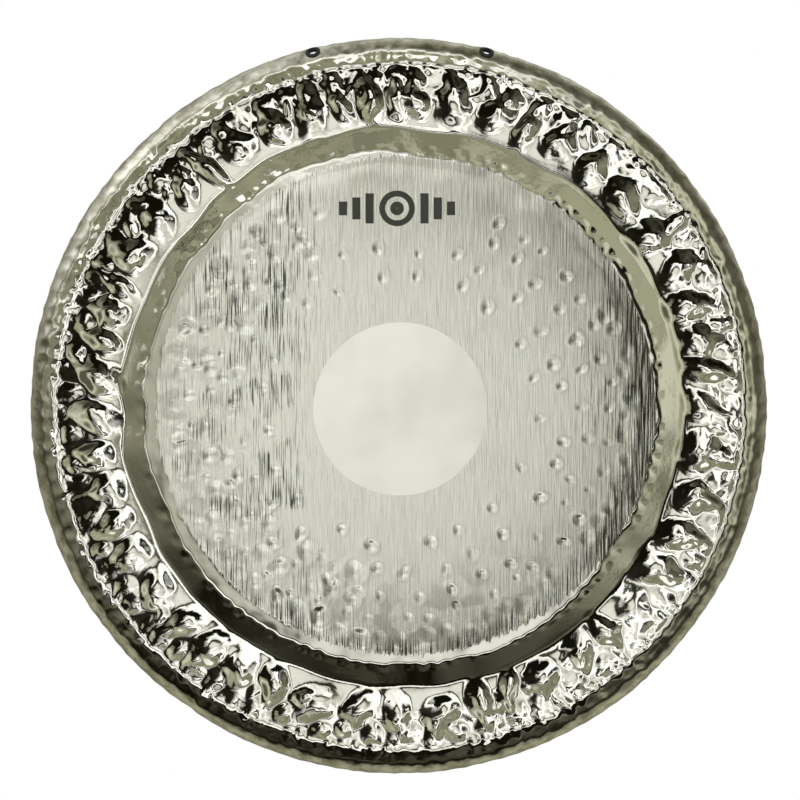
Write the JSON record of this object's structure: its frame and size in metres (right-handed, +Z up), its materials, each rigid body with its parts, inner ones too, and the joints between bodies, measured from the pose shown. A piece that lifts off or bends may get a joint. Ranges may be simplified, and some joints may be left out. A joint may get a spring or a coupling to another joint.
{
  "type": "tam-tam gong",
  "caption": "Round hammered metal gong with a brushed face, smooth centre disc, dented mirror-bright shoulder and a turned-back rim with lined hanging holes.",
  "frame": {"origin": "centre of the gong's bounding box, on the gong's own axis", "axes": "-Y is the way the struck face looks, +Y points out of the hollow back along the gong's axis, +Z is up with the hanging holes near the top, +X is to the right as seen from the front"},
  "size_m": [0.813, 0.0684, 0.813],
  "materials": {
    "nickel_silver": "hammered nickel silver: satin centre disc, vertically brushed face, mirror-polished valley, shoulder and rim",
    "liner_rubber": "moulded black rubber"
  },
  "bodies": {
    "root": {"gong_plate": "nickel_silver", "left_hole_liner": "liner_rubber", "right_hole_liner": "liner_rubber"}
  },
  "joints": []
}
